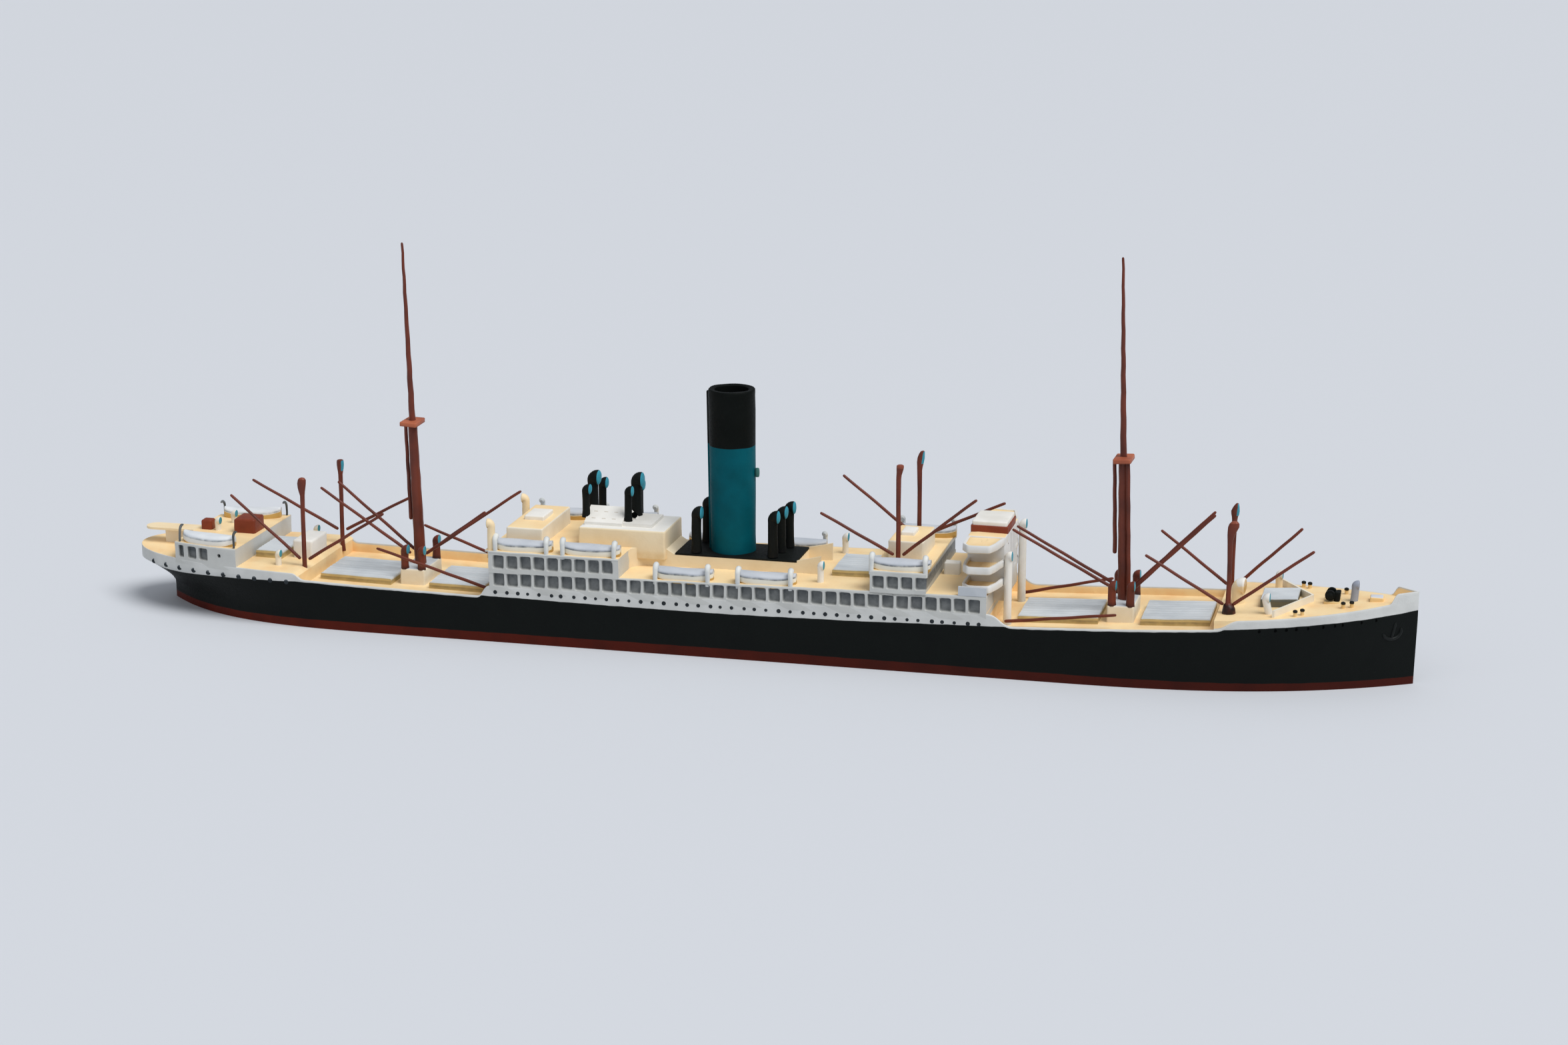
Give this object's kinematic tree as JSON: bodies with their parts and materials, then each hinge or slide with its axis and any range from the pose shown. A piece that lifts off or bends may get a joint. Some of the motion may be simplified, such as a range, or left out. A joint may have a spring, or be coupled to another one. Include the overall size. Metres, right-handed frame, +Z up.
{
  "type": "waterline ship miniature",
  "caption": "Waterline display miniature of a two-masted, single-funnel cargo liner, with a flat underside that rests on a table.",
  "frame": {"origin": "centre of the hull's length and beam, on the table under its flat underside", "axes": "+X forward to the bow, +Y to port, +Z up"},
  "size_m": [0.124, 0.015, 0.0379],
  "materials": {
    "cream_paint": "eggshell enamel",
    "white_paint": "eggshell enamel, warm white with cream decks",
    "brown_paint": "satin enamel",
    "black_paint": "matte black enamel",
    "buff_paint": "eggshell enamel",
    "funnel_paint": "satin enamel, the top band matte black",
    "hull_paint": "satin enamel, near-black green over a red-brown boot topping and white upper bands",
    "boat_paint": "eggshell enamel, white hulls under grey covers",
    "hatch_paint": "eggshell enamel, blue-grey covers on ochre coamings"
  },
  "bodies": {
    "root": {"aft_deck_cowls": "cream_paint", "aft_deckhouse": "white_paint", "aft_kingposts": "brown_paint", "anchors": "black_paint", "bollards": "black_paint", "bow_locker": "buff_paint", "breakwater": "white_paint", "bridge_front_cowls": "cream_paint", "bridge_side_screens": "white_paint", "bridge_tower": "white_paint", "bridge_wings": "white_paint", "casing_companion": "white_paint", "casing_cowls": "black_paint", "crosstrees": "brown_paint", "deck_locker": "white_paint", "docking_bridge": "white_paint", "docking_bridge_trunk": "white_paint", "engine_casing": "white_paint", "engine_skylight": "white_paint", "fore_kingposts": "brown_paint", "fore_mast": "brown_paint", "forecastle_cowls": "cream_paint", "funnel": "funnel_paint", "funnel_casing": "white_paint", "funnel_cowls": "black_paint", "funnel_plate": "black_paint", "house_skylights": "white_paint", "hull": "hull_paint", "kingpost_derricks": "brown_paint", "lifeboat_davits": "white_paint", "lifeboats": "boat_paint", "low_derricks": "brown_paint", "main_mast": "brown_paint", "mast_derricks": "brown_paint", "mast_house_cowls": "brown_paint", "mast_houses": "buff_paint", "midship_house": "white_paint", "midship_kingposts": "brown_paint", "officers_house": "white_paint", "poop_boats": "boat_paint", "poop_cowls": "cream_paint", "poop_davits": "black_paint", "poop_house": "white_paint", "poop_roof_boxes": "brown_paint", "poop_winch_house": "white_paint", "promenade_cowls": "cream_paint", "signal_house": "white_paint", "small_hatches": "hatch_paint", "steam_pipe": "black_paint", "stowed_booms": "brown_paint", "upper_house": "white_paint", "well_deck_hatches": "hatch_paint", "wheelhouse": "brown_paint", "wheelhouse_roof": "white_paint", "whistle": "funnel_paint", "windlass": "black_paint", "windscreens": "white_paint"}
  },
  "joints": []
}
